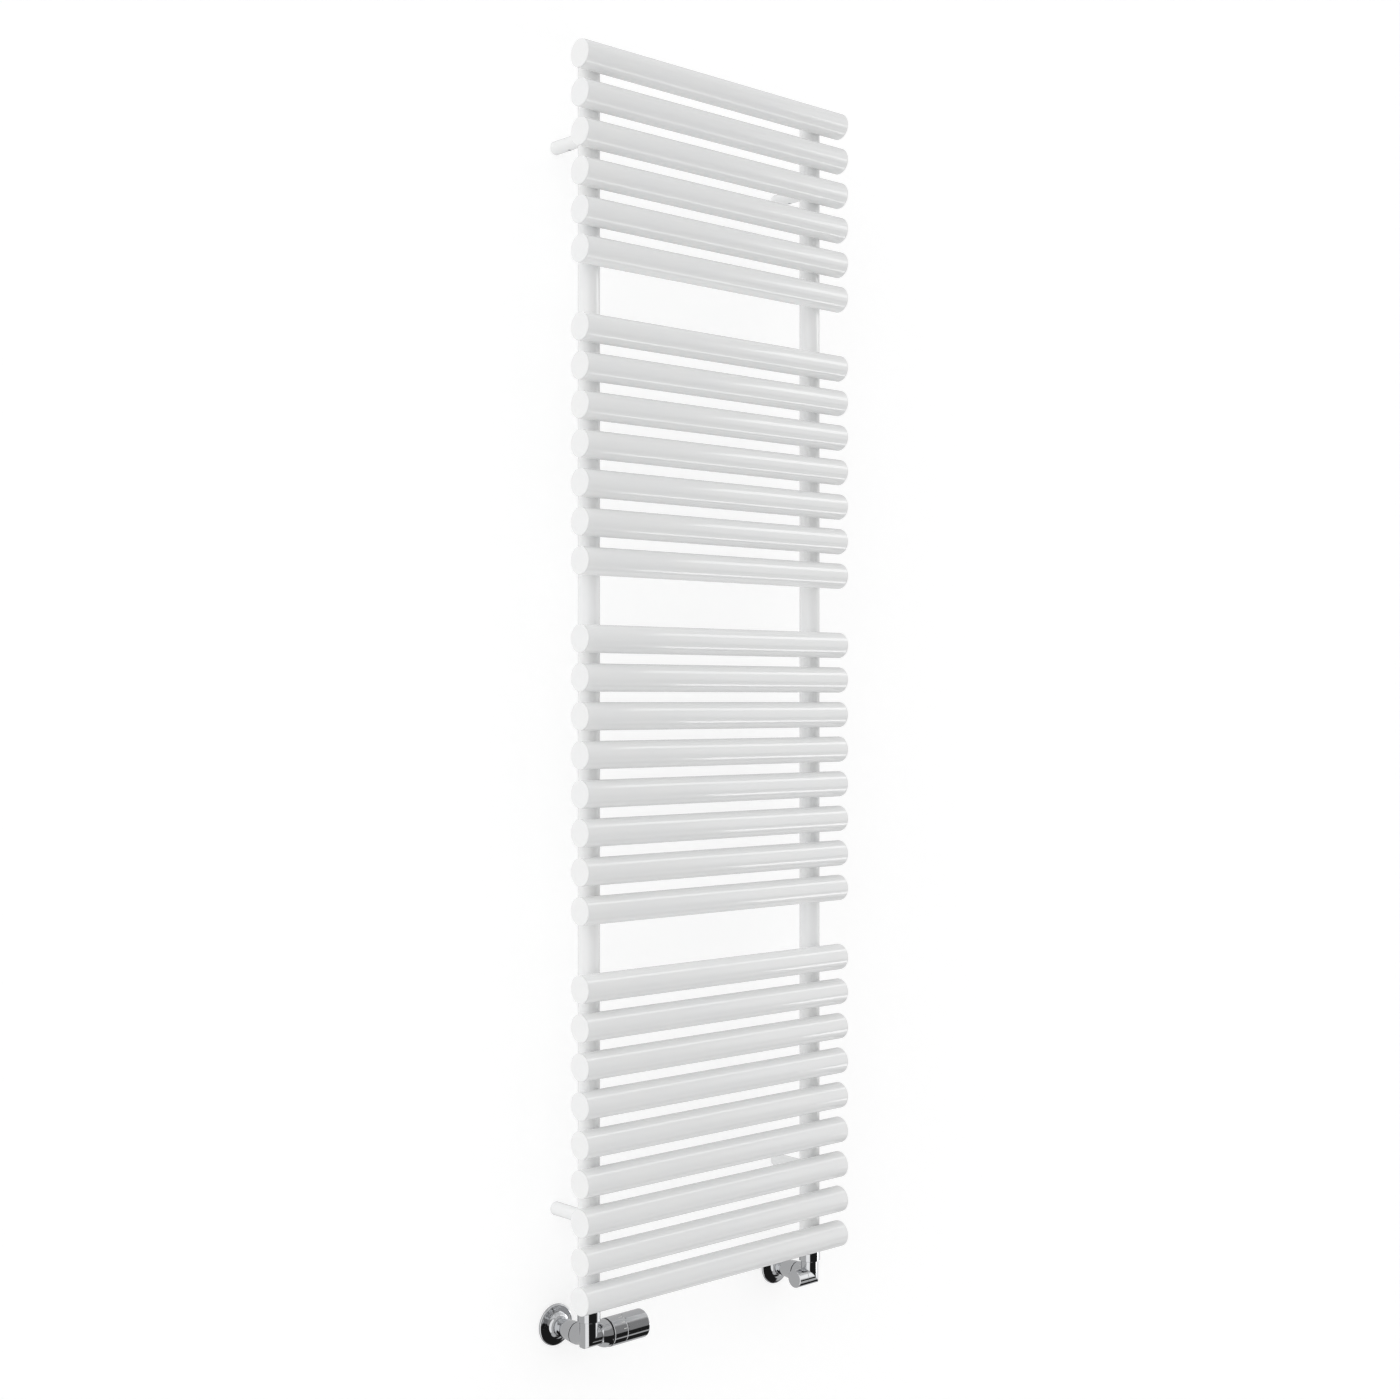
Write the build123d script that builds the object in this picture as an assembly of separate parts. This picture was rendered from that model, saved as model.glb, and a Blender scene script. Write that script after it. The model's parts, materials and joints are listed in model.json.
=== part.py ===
from build123d import *
import os

# Tubular bathroom radiator for a wall, with a thermostatic valve at its left foot and a
# lockshield valve at its right foot. Millimetres.
# Frame: +X to the right along the tubes, +Y into the wall, +Z up. The origin is on the wall
# plane, in the middle of the four bracket fixings.

os.makedirs("parts", exist_ok=True)

# ---------------------------------------------------------------- driving dimensions
# Tubes: the blocks are counted from the floor up, with one pitch left free between blocks
RADIATOR_WIDTH = 500.0
TUBE_RADIUS = 19.0
TUBE_WALL = 1.5
TUBE_PITCH = 52.0
TUBES_PER_BLOCK = (9, 8, 7, 6)
TUBE_TO_WALL = 100.0
WATERWAY_RADIUS = 7.0
END_CAP_THICKNESS = 2.0
END_CAP_CHAMFER = 0.8
END_CAP_SPIGOT = 3.0

# Collectors: the two uprights behind the tubes, each tube lying in a saddle of the collector
COLLECTOR_SPACING = 425.0
COLLECTOR_RADIUS = 15.0
COLLECTOR_WALL = 2.0
COLLECTOR_SET_BACK = 26.0
COLLECTOR_PAST_TUBE = 22.0
WELD_GAP = 0.1
THREAD_GAP = 0.05

# G 1/2 ends of the collectors
BOSS_LENGTH = 16.0
THREAD_RADIUS = 10.4
THREAD_LENGTH = 10.0
PLUG_HEAD_RADIUS = 12.5
PLUG_HEAD_HEIGHT = 2.0
PLUG_HEAD_CHAMFER = 0.4
PLUG_SOCKET = 10.0
VENT_KEY_SQUARE = 3.9

# Wall brackets
BRACKET_SPACING = 1465.0
BRACKET_RADIUS = 9.25
STUD_RADIUS = 6.0
STUD_END = -20.0
WALL_DISC_RADIUS = 8.0
WALL_DISC_THICKNESS = 10.0
WALL_SCREW_RADIUS = 3.2
GRUB_SCREW_RADIUS = 2.5
GRUB_SCREW_PLACE = -32.0

# Valves: three round legs that meet under the collector; lengths are from the valve's centre
VALVE_DROP = 61.5
LEG_RADIUS = 13.0
CORNER_RADIUS = 3.5
SIDE_LEG_LENGTH = 14.0
WALL_LEG_LENGTH = 24.5
WALL_LEG_RADIUS = 15.0
SHADOW_RING_WIDTH = 2.0
PIPE_RADIUS = 7.6
PIPE_STOP = 8.0
SEAT_RADIUS = 5.0
SEAT_HEIGHT = 4.0
INSERT_RADIUS = 9.0
CHAMBER_END = 8.3
UNION_NUT_RADIUS = 15.7
UNION_NUT_LENGTH = 15.5
UNION_NUT_BORE = 12.0
UNION_GAP = 1.5
ROSETTE_RADIUS = 28.5
ROSETTE_DEPTH = 11.0

# Thermostatic head: lengths are from the valve's centre along the tubes
HEAD_RADIUS = 19.6
HEAD_START = 31.0
HEAD_END = 93.5
HEAD_WALL = 1.6
SCALE_LINE = 53.3
COLLAR_START = 14.3
COLLAR_END = 28.5
PIN_RADIUS = 2.0
PIN_END = 30.0
BEARING_RADIUS = 14.0
BEARING_GAP = 0.08
SENSOR_RADIUS = 9.2
SENSOR_START = 36.0
SENSOR_SHOULDER = 60.0

# Lockshield
CAP_START = 14.3
CAP_END = 32.5
SPINDLE_RADIUS = 3.0
STEM_RADIUS = 1.5

# ---------------------------------------------------------------- derived places
X_AXIS = (1, 0, 0)
Y_AXIS = (0, 1, 0)
Z_AXIS = (0, 0, 1)
pitches = sum(TUBES_PER_BLOCK) - 1 + len(TUBES_PER_BLOCK) - 1
lowest_tube_z = -pitches * TUBE_PITCH / 2
tube_y = -TUBE_TO_WALL
collector_y = tube_y + COLLECTOR_SET_BACK
collector_end_z = pitches * TUBE_PITCH / 2 + COLLECTOR_PAST_TUBE
collector_back_y = collector_y + COLLECTOR_RADIUS
valve_z = lowest_tube_z - VALVE_DROP
union_top = valve_z + VALVE_DROP - COLLECTOR_PAST_TUBE
sides = {"left": -COLLECTOR_SPACING / 2, "right": COLLECTOR_SPACING / 2}


def tube_heights():
    """Height of each tube's axis, from the floor up."""
    heights = []
    slot = 0
    for count in TUBES_PER_BLOCK:
        for _ in range(count):
            heights.append(lowest_tube_z + slot * TUBE_PITCH)
            slot += 1
        slot += 1
    return heights


# ---------------------------------------------------------------- shape helpers
def turned(edges, origin, direction):
    """Turned part: a closed outline of (radius, 0, station) edges, spun round the station axis."""
    spun = revolve(make_face(edges), Axis.Z)
    return Plane(origin=origin, z_dir=direction) * spun


def lathe(points, origin, direction):
    """Turned part from (radius, station) corners; stations run from origin along direction."""
    corners = [(radius, 0, station) for radius, station in points]
    return turned(Polyline(*corners, close=True), origin, direction)


def rod(radius, start, end, origin, direction):
    """Solid round bar between two stations."""
    return lathe([(0, start), (radius, start), (radius, end), (0, end)], origin, direction)


def ring(outer, inner, start, end, origin, direction):
    """Round sleeve between two stations."""
    corners = [(inner, start), (outer, start), (outer, end), (inner, end)]
    return lathe(corners, origin, direction)


def hexagon(flats, start, end, origin, direction):
    """Hexagon bar, measured across its flats, between two stations."""
    outline = RegularPolygon(flats / 2, 6, major_radius=False)
    bar = Pos(0, 0, start) * extrude(outline, end - start)
    return Plane(origin=origin, z_dir=direction) * bar


def as_one_body(shape):
    """The single solid of a shape."""
    return shape.solids()[0]


def group(shapes):
    """Several separate solids kept in one node."""
    return Compound([as_one_body(shape) for shape in shapes])


def save(name, shape):
    """Write one node."""
    export_step(shape, f"parts/{name}.step")


# ---------------------------------------------------------------- radiator
def tube(height):
    """Heating tube, open ended, with a waterway in its back at each collector."""
    half = RADIATOR_WIDTH / 2 - END_CAP_THICKNESS
    inner = TUBE_RADIUS - TUBE_WALL
    body = ring(TUBE_RADIUS, inner, -half, half, (0, tube_y, height), X_AXIS)
    for x in sides.values():
        body -= rod(WATERWAY_RADIUS, 0, 2 * TUBE_RADIUS, (x, tube_y, height), Y_AXIS)
    return as_one_body(body)


def end_cap(height, side):
    """Flat disc with a chamfered rim and a spigot that registers in the tube."""
    inside = RADIATOR_WIDTH / 2 - END_CAP_THICKNESS
    outside = RADIATOR_WIDTH / 2
    spigot = TUBE_RADIUS - TUBE_WALL - THREAD_GAP
    outline = [
        (0, inside - END_CAP_SPIGOT),
        (spigot, inside - END_CAP_SPIGOT),
        (spigot, inside),
        (TUBE_RADIUS, inside),
        (TUBE_RADIUS, outside - END_CAP_CHAMFER),
        (TUBE_RADIUS - END_CAP_CHAMFER, outside),
        (0, outside),
    ]
    return lathe(outline, (0, tube_y, height), (side, 0, 0))


def tube_saddles(x):
    """The space that the tubes take out of whatever stands at a collector."""
    half = 2 * COLLECTOR_RADIUS
    radius = TUBE_RADIUS + WELD_GAP
    return [rod(radius, -half, half, (x, tube_y, height), X_AXIS) for height in tube_heights()]


def collector(x):
    """Upright tube with a saddle for each heating tube, open at both ends."""
    inner = COLLECTOR_RADIUS - COLLECTOR_WALL
    body = ring(COLLECTOR_RADIUS, inner, -collector_end_z, collector_end_z, (x, collector_y, 0), Z_AXIS)
    body -= tube_saddles(x)
    return as_one_body(body)


def collector_boss(x, end):
    """Threaded ring welded into a collector's end: end is 1 at the top and -1 at the foot."""
    outer = COLLECTOR_RADIUS - COLLECTOR_WALL - THREAD_GAP
    bore = THREAD_RADIUS + THREAD_GAP
    origin = (x, collector_y, end * collector_end_z)
    body = ring(outer, bore, 0, BOSS_LENGTH, origin, (0, 0, -end))
    saddles = tube_saddles(x)
    body -= saddles[-1] if end > 0 else saddles[0]
    return body


def air_vent_plug(x):
    """Plug in a collector's top with a bore for the bleed screw."""
    bore = SPINDLE_RADIUS + THREAD_GAP
    outline = [
        (bore, -THREAD_LENGTH),
        (THREAD_RADIUS, -THREAD_LENGTH),
        (THREAD_RADIUS, 0),
        (PLUG_HEAD_RADIUS, 0),
        (PLUG_HEAD_RADIUS, PLUG_HEAD_HEIGHT - PLUG_HEAD_CHAMFER),
        (PLUG_HEAD_RADIUS - PLUG_HEAD_CHAMFER, PLUG_HEAD_HEIGHT),
        (bore, PLUG_HEAD_HEIGHT),
    ]
    return lathe(outline, (x, collector_y, collector_end_z), Z_AXIS)


def bleed_screw(x):
    """Bleed screw with a square end for the vent key."""
    origin = (x, collector_y, collector_end_z)
    body = rod(SPINDLE_RADIUS, -THREAD_LENGTH + 2, 1.0, origin, Z_AXIS)
    square = Box(VENT_KEY_SQUARE, VENT_KEY_SQUARE, 2.8)
    body += Pos(*origin) * Pos(0, 0, 2.4) * square
    return as_one_body(body)


def blanking_plug(x):
    """Plug with a hexagon socket in the other collector's top."""
    outline = [
        (0, -THREAD_LENGTH),
        (THREAD_RADIUS, -THREAD_LENGTH),
        (THREAD_RADIUS, 0),
        (PLUG_HEAD_RADIUS, 0),
        (PLUG_HEAD_RADIUS, PLUG_HEAD_HEIGHT - PLUG_HEAD_CHAMFER),
        (PLUG_HEAD_RADIUS - PLUG_HEAD_CHAMFER, PLUG_HEAD_HEIGHT),
        (0, PLUG_HEAD_HEIGHT),
    ]
    origin = (x, collector_y, collector_end_z)
    socket = hexagon(PLUG_SOCKET, -PLUG_SOCKET / 2, PLUG_HEAD_HEIGHT + 0.5, origin, Z_AXIS)
    return as_one_body(lathe(outline, origin, Z_AXIS) - socket)


# ---------------------------------------------------------------- wall brackets
def bracket_places():
    """Where the four brackets stand on the wall."""
    heights = (-BRACKET_SPACING / 2, BRACKET_SPACING / 2)
    return [(x, 0, z) for x in sides.values() for z in heights]


def clear_of_collector(shape, place):
    """The shape with a saddle cut where it meets the collector's back."""
    x, _, z = place
    upright = rod(COLLECTOR_RADIUS + WELD_GAP, -40, 40, (x, collector_y, z), Z_AXIS)
    return as_one_body(shape - upright)


def bracket_stud(place):
    """Stud welded to the collector's back."""
    bar = rod(STUD_RADIUS, collector_back_y - 4, STUD_END, place, Y_AXIS)
    return clear_of_collector(bar, place)


def bracket_sleeve(place):
    """Stand-off sleeve that slides over the stud and over the wall disc."""
    start = collector_back_y - 4
    wall_bore = WALL_DISC_RADIUS + WELD_GAP
    stud_bore = STUD_RADIUS + WELD_GAP
    step = STUD_END + 6
    outline = [
        (stud_bore, start),
        (BRACKET_RADIUS, start),
        (BRACKET_RADIUS, -0.4),
        (BRACKET_RADIUS - 0.4, 0),
        (wall_bore, 0),
        (wall_bore, step),
        (stud_bore, step),
    ]
    body = clear_of_collector(lathe(outline, place, Y_AXIS), place)
    x, _, z = place
    screw_place = (x, GRUB_SCREW_PLACE, z)
    hole = rod(GRUB_SCREW_RADIUS + THREAD_GAP, 0, 2 * BRACKET_RADIUS, screw_place, (0, 0, -1))
    return as_one_body(body - hole)


def bracket_wall_disc(place):
    """Disc that is screwed to the wall inside the sleeve, countersunk for its screw."""
    front = -WALL_DISC_THICKNESS
    outline = [
        (WALL_SCREW_RADIUS, 0),
        (WALL_DISC_RADIUS, 0),
        (WALL_DISC_RADIUS, front),
        (WALL_SCREW_RADIUS + 3, front),
        (WALL_SCREW_RADIUS, front + 3),
    ]
    return lathe(outline, place, Y_AXIS)


def bracket_grub_screw(place):
    """Grub screw that clamps the sleeve on the stud, reached from below."""
    x, _, z = place
    origin = (x, GRUB_SCREW_PLACE, z)
    down = (0, 0, -1)
    start = STUD_RADIUS + WELD_GAP / 2
    body = rod(GRUB_SCREW_RADIUS, start, BRACKET_RADIUS - 0.3, origin, down)
    return as_one_body(body - hexagon(2.5, start + 1.2, BRACKET_RADIUS, origin, down))


# ---------------------------------------------------------------- valve bodies and unions
def valve_centre(x):
    return (x, collector_y, valve_z)


def valve_body(x, side):
    """Body with legs up to the radiator, back to the wall and sideways (side is 1 or -1)."""
    centre = valve_centre(x)
    sideways = (side, 0, 0)
    leg_top = VALVE_DROP - COLLECTOR_PAST_TUBE - UNION_NUT_LENGTH - UNION_GAP
    spigot_top = leg_top + 9.0
    body = rod(LEG_RADIUS, -LEG_RADIUS, LEG_RADIUS, centre, Z_AXIS)
    body &= rod(LEG_RADIUS, -LEG_RADIUS, LEG_RADIUS, centre, X_AXIS)
    body += rod(LEG_RADIUS, 0, leg_top, centre, Z_AXIS)
    body += rod(LEG_RADIUS, 0, SIDE_LEG_LENGTH, centre, sideways)
    body -= corner_waste(centre, side)
    body += rod(UNION_NUT_BORE - THREAD_GAP, leg_top - 1, spigot_top, centre, Z_AXIS)
    wall_leg = [
        (0, 0),
        (LEG_RADIUS, 0),
        (LEG_RADIUS, WALL_LEG_LENGTH / 2),
        (WALL_LEG_RADIUS, WALL_LEG_LENGTH - 3),
        (WALL_LEG_RADIUS, WALL_LEG_LENGTH),
        (0, WALL_LEG_LENGTH),
    ]
    body += lathe(wall_leg, centre, Y_AXIS)
    body -= rod(WATERWAY_RADIUS, 0, spigot_top, centre, Z_AXIS)
    body -= rod(WATERWAY_RADIUS - 1, 0, PIPE_STOP, centre, Y_AXIS)
    body -= rod(PIPE_RADIUS, PIPE_STOP, WALL_LEG_LENGTH, centre, Y_AXIS)
    body -= rod(THREAD_RADIUS + THREAD_GAP, 2 * PIPE_STOP + 0.5, WALL_LEG_LENGTH, centre, Y_AXIS)
    body -= rod(SEAT_RADIUS, 0, SEAT_HEIGHT, centre, sideways)
    body -= rod(INSERT_RADIUS + THREAD_GAP, SEAT_HEIGHT, SIDE_LEG_LENGTH, centre, sideways)
    return as_one_body(body)


def corner_waste(centre, side):
    """What rounds off the outer corner of the elbow takes away."""
    x, y, z = centre
    inset = LEG_RADIUS - CORNER_RADIUS
    block = Box(CORNER_RADIUS + 1, 4 * LEG_RADIUS, CORNER_RADIUS + 1)
    offset = inset + (CORNER_RADIUS + 1) / 2
    block = Pos(x - side * offset, y, z - offset) * block
    length = 3 * LEG_RADIUS
    return block - rod(CORNER_RADIUS, -length, length, (x - side * inset, y, z - inset), Y_AXIS)


def union_tail(x):
    """Tail that screws into the collector, with the flange that the union nut pulls on."""
    flange_top = -3.5
    flange = UNION_NUT_BORE - 0.2
    neck = THREAD_RADIUS - 0.5
    outline = [
        (WATERWAY_RADIUS, flange_top - 3),
        (flange, flange_top - 3),
        (flange, flange_top),
        (neck, flange_top),
        (neck, 0),
        (THREAD_RADIUS, 0),
        (THREAD_RADIUS, THREAD_LENGTH),
        (WATERWAY_RADIUS, THREAD_LENGTH),
    ]
    return lathe(outline, (x, collector_y, union_top), Z_AXIS)


def union_nut(x):
    """Round nut that covers the joint between the collector and the valve."""
    top = -1.0
    bottom = top - UNION_NUT_LENGTH
    shoulder = top - 2.4
    edge = 0.4
    outline = [
        (UNION_NUT_BORE, bottom),
        (UNION_NUT_RADIUS - edge, bottom),
        (UNION_NUT_RADIUS, bottom + edge),
        (UNION_NUT_RADIUS, top - edge),
        (UNION_NUT_RADIUS - edge, top),
        (THREAD_RADIUS + 0.1, top),
        (THREAD_RADIUS + 0.1, shoulder),
        (UNION_NUT_BORE, shoulder),
    ]
    return lathe(outline, (x, collector_y, union_top), Z_AXIS)


def compression_nut(x):
    """Nut that holds the supply pipe in the body."""
    start = 2 * PIPE_STOP + 1
    centre = valve_centre(x)
    body = rod(THREAD_RADIUS, start, WALL_LEG_LENGTH + 0.5, centre, Y_AXIS)
    body += hexagon(22.0, WALL_LEG_LENGTH + 0.5, start + 16, centre, Y_AXIS)
    return as_one_body(body - rod(PIPE_RADIUS, 0, start + 20, centre, Y_AXIS))


def shadow_ring(x):
    """Dark ring between the valve body and the sleeve over the pipe."""
    outer = WALL_LEG_RADIUS - 0.9
    start = WALL_LEG_LENGTH
    return ring(outer, outer - 1.3, start, start + SHADOW_RING_WIDTH, valve_centre(x), Y_AXIS)


def pipe_sleeve(x):
    """Tapered cover over the supply pipe, from the valve to the rosette."""
    start = WALL_LEG_LENGTH + SHADOW_RING_WIDTH
    end = TUBE_TO_WALL - COLLECTOR_SET_BACK - 6
    wall = 1.1
    middle = (start + end) / 2
    outer = Spline(
        (WALL_LEG_RADIUS, 0, start),
        (13.0, 0, middle - 6),
        (11.1, 0, end),
        tangents=((-0.05, 0, 1), (0, 0, 1)),
    )
    inner = Pos(-wall, 0, 0) * outer
    ends = [Line(outer @ 0, inner @ 0), Line(outer @ 1, inner @ 1)]
    return turned([outer, inner] + ends, valve_centre(x), Y_AXIS)


def rosette(x):
    """Cover on the wall round the pipe: a rounded rim, a flat dish and a trumpet-shaped hub."""
    hub = 11.3
    rim = ROSETTE_RADIUS
    front = ROSETTE_DEPTH
    wall = 1.2
    dish = 3.4
    foot = hub + 7.0
    hub_arc_out = ThreePointArc((foot, 0, dish), (hub + 3.2, 0, dish + 3.0), (hub + wall, 0, front))
    hub_arc_in = ThreePointArc((foot, 0, dish - wall), (hub + 2.4, 0, dish + 2.0), (hub, 0, front - 1.0))
    rim_arc = ThreePointArc((rim, 0, 1.2), (rim - 0.6, 0, 2.6), (rim - 2.0, 0, dish))
    outline = [
        Line((foot, 0, dish), (rim - 2.0, 0, dish)),
        rim_arc,
        Line((rim, 0, 1.2), (rim, 0, 0)),
        Line((rim, 0, 0), (rim - wall, 0, 0)),
        Line((rim - wall, 0, 0), (rim - 2.4, 0, dish - wall)),
        Line((rim - 2.4, 0, dish - wall), (foot, 0, dish - wall)),
        hub_arc_in,
        Line((hub, 0, front - 1.0), (hub, 0, front)),
        Line((hub, 0, front), (hub + wall, 0, front)),
        hub_arc_out,
    ]
    return turned(outline, (x, 0, valve_z), (0, -1, 0))


# ---------------------------------------------------------------- thermostatic valve and head
def thermostatic_insert(x):
    """Bonnet that guides the pin and carries the head; hollow for the return spring."""
    centre = valve_centre(x)
    thread = INSERT_RADIUS + 2.9
    body = rod(INSERT_RADIUS, CHAMBER_END, SIDE_LEG_LENGTH, centre, X_AXIS)
    body += hexagon(22.0, SIDE_LEG_LENGTH, SIDE_LEG_LENGTH + 3, centre, X_AXIS)
    body += rod(thread, SIDE_LEG_LENGTH + 3, COLLAR_END - 2.5, centre, X_AXIS)
    body -= rod(PIN_RADIUS + THREAD_GAP, 0, HEAD_START, centre, X_AXIS)
    body -= rod(5.6, SIDE_LEG_LENGTH + 1, HEAD_START, centre, X_AXIS)
    return as_one_body(body)


def valve_pin(x):
    """Pin with the closing disc at one end and the spring's shoulder near the other."""
    shoulder = 23.2
    outline = [
        (0, SEAT_HEIGHT + 1.3),
        (SEAT_RADIUS + 1.5, SEAT_HEIGHT + 1.3),
        (SEAT_RADIUS + 1.5, SEAT_HEIGHT + 2.8),
        (PIN_RADIUS, SEAT_HEIGHT + 2.8),
        (PIN_RADIUS, shoulder),
        (5.0, shoulder),
        (5.0, shoulder + 1),
        (PIN_RADIUS, shoulder + 1),
        (PIN_RADIUS, PIN_END),
        (0, PIN_END),
    ]
    return lathe(outline, valve_centre(x), X_AXIS)


def return_spring(x):
    """Coil spring that lifts the pin off its seat."""
    wire = 0.5
    length = 5.6
    x0, y0, z0 = valve_centre(x)
    path = Helix(pitch=1.4, height=length, radius=4.0)
    section = Plane(origin=path @ 0, z_dir=path % 0) * Circle(wire)
    coil = sweep(section, path=path, is_frenet=True)
    place = Plane(origin=(x0 + SIDE_LEG_LENGTH + 1.7, y0, z0), z_dir=X_AXIS)
    return as_one_body(place * coil)


def head_collar(x):
    """Domed nut that holds the head on the insert."""
    thread = INSERT_RADIUS + 3.0
    start = COLLAR_START
    outer_end = HEAD_RADIUS - 0.8
    dome_end = COLLAR_END - 1
    dome = ThreePointArc(
        (LEG_RADIUS + 0.8, 0, start),
        (HEAD_RADIUS - 2.2, 0, start + 6),
        (outer_end, 0, dome_end),
    )
    corners = [
        (outer_end, dome_end),
        (outer_end, COLLAR_END),
        (16.0, COLLAR_END),
        (16.0, COLLAR_END - 2.4),
        (thread, COLLAR_END - 2.4),
        (thread, SIDE_LEG_LENGTH + 3.3),
        (LEG_RADIUS - 0.1, SIDE_LEG_LENGTH + 3.3),
        (LEG_RADIUS - 0.1, start),
        (LEG_RADIUS + 0.8, start),
    ]
    rest = Polyline(*[(radius, 0, station) for radius, station in corners])
    return turned([dome, rest], valve_centre(x), X_AXIS)


def head_base(x):
    """Plastic cradle inside the head: it stays still, holds the sensor and the handle turns on it."""
    bore = SENSOR_RADIUS + 0.1
    outline = [
        (3.3, COLLAR_END - 2.3),
        (15.9, COLLAR_END - 2.3),
        (15.9, COLLAR_END),
        (BEARING_RADIUS, COLLAR_END),
        (BEARING_RADIUS, SENSOR_SHOULDER),
        (bore, SENSOR_SHOULDER),
        (bore, SENSOR_START - 3),
        (3.3, SENSOR_START - 3),
    ]
    return lathe(outline, valve_centre(x), X_AXIS)


def head_shadow_ring(x):
    """Dark ring in the gap between the collar and the handle."""
    inner = BEARING_RADIUS + WELD_GAP
    return ring(HEAD_RADIUS - HEAD_WALL, inner, COLLAR_END, HEAD_START - 0.3, valve_centre(x), X_AXIS)


def sensor_capsule(x):
    """Liquid-filled sensor that pushes on the pin."""
    nose = 3.2
    start = PIN_END + THREAD_GAP
    end = SENSOR_SHOULDER + 1.5
    outline = [
        (0, start),
        (nose, start),
        (nose, SENSOR_START),
        (SENSOR_RADIUS, SENSOR_START),
        (SENSOR_RADIUS, SENSOR_SHOULDER),
        (SENSOR_RADIUS - 1.2, end),
        (0, end),
    ]
    return lathe(outline, valve_centre(x), X_AXIS)


def head_handle(x):
    """Turning sleeve of the head: closed end, scale line, two bearing rings and a thrust post."""
    inner = HEAD_RADIUS - HEAD_WALL
    bearing = BEARING_RADIUS + BEARING_GAP
    post = 5.0
    post_start = 65.0
    end_wall = HEAD_END - 2.5
    line = 0.35
    round_end = 2.2
    corner = HEAD_END - round_end
    middle = round_end * (1 - 0.5**0.5)
    blend = ThreePointArc(
        (HEAD_RADIUS, 0, corner),
        (HEAD_RADIUS - middle, 0, HEAD_END - middle),
        (HEAD_RADIUS - round_end, 0, HEAD_END),
    )
    corners = [
        (HEAD_RADIUS - round_end, HEAD_END),
        (0, HEAD_END),
        (0, post_start),
        (post, post_start),
        (post, end_wall),
        (inner, end_wall),
        (inner, 58.0),
        (bearing, 58.0),
        (bearing, 54.0),
        (inner, 54.0),
        (inner, 40.0),
        (bearing, 40.0),
        (bearing, 34.0),
        (inner, 34.0),
        (inner, HEAD_START),
        (HEAD_RADIUS - 0.4, HEAD_START),
        (HEAD_RADIUS, HEAD_START + 0.4),
        (HEAD_RADIUS, SCALE_LINE - line),
        (HEAD_RADIUS - line, SCALE_LINE),
        (HEAD_RADIUS, SCALE_LINE + line),
        (HEAD_RADIUS, corner),
    ]
    rest = Polyline(*[(radius, 0, station) for radius, station in corners])
    return turned([blend, rest], valve_centre(x), X_AXIS)


# ---------------------------------------------------------------- lockshield valve
def lockshield_insert(x):
    """Bonnet that the lockshield's spindle turns in."""
    centre = valve_centre(x)
    away = (-1, 0, 0)
    body = rod(INSERT_RADIUS, CHAMBER_END, SIDE_LEG_LENGTH, centre, away)
    body += hexagon(19.0, SIDE_LEG_LENGTH, SIDE_LEG_LENGTH + 4, centre, away)
    body -= rod(SPINDLE_RADIUS + THREAD_GAP, 0, CAP_END, centre, away)
    return as_one_body(body)


def lockshield_spindle(x):
    """Spindle with a square end; its bore is threaded for the disc's stem."""
    centre = valve_centre(x)
    away = (-1, 0, 0)
    start = 9.5
    end = 22.0
    square = 4.0
    body = rod(SPINDLE_RADIUS, start, end, centre, away)
    body -= rod(STEM_RADIUS + 0.06, start, end - 2, centre, away)
    body += Pos(x - end - square / 2, centre[1], centre[2]) * Box(square, square, square)
    return as_one_body(body)


def lockshield_disc(x):
    """Regulating disc with the stem that the spindle drives along its axis."""
    outline = [
        (0, 7.0),
        (SEAT_RADIUS + 1, 7.0),
        (SEAT_RADIUS + 1, 8.2),
        (STEM_RADIUS, 8.2),
        (STEM_RADIUS, 16.0),
        (0, 16.0),
    ]
    return lathe(outline, valve_centre(x), (-1, 0, 0))


def lockshield_cap(x):
    """Smooth cap that pulls off the lockshield's leg."""
    inner = LEG_RADIUS - 1.2
    outline = [
        (0, CAP_END - 2),
        (inner, CAP_END - 2),
        (inner, CAP_START),
        (LEG_RADIUS - 0.2, CAP_START),
        (LEG_RADIUS, CAP_START + 0.2),
        (LEG_RADIUS, CAP_END - 0.8),
        (LEG_RADIUS - 0.8, CAP_END),
        (0, CAP_END),
    ]
    return lathe(outline, valve_centre(x), (-1, 0, 0))


# ---------------------------------------------------------------- write every node
left = sides["left"]
right = sides["right"]

for number, height in enumerate(tube_heights(), start=1):
    save(f"tube_{number:02d}", tube(height))
save("tube_end_caps", group([end_cap(height, side) for height in tube_heights() for side in (-1, 1)]))
save("left_collector", collector(left))
save("right_collector", collector(right))
save("collector_bosses", group([collector_boss(x, end) for x in sides.values() for end in (-1, 1)]))
save("air_vent_plug", air_vent_plug(right))
save("bleed_screw", bleed_screw(right))
save("blanking_plug", blanking_plug(left))

save("bracket_studs", group([bracket_stud(place) for place in bracket_places()]))
save("bracket_sleeves", group([bracket_sleeve(place) for place in bracket_places()]))
save("bracket_wall_discs", group([bracket_wall_disc(place) for place in bracket_places()]))
save("bracket_grub_screws", group([bracket_grub_screw(place) for place in bracket_places()]))

save("thermostatic_valve_body", valve_body(left, 1))
save("lockshield_valve_body", valve_body(right, -1))
for name, make in {
    "union_tails": union_tail,
    "union_nuts": union_nut,
    "compression_nuts": compression_nut,
    "pipe_sleeves": pipe_sleeve,
    "rosettes": rosette,
}.items():
    save(name, group([make(x) for x in sides.values()]))
save("shadow_rings", group([shadow_ring(left), shadow_ring(right), head_shadow_ring(left)]))

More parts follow.
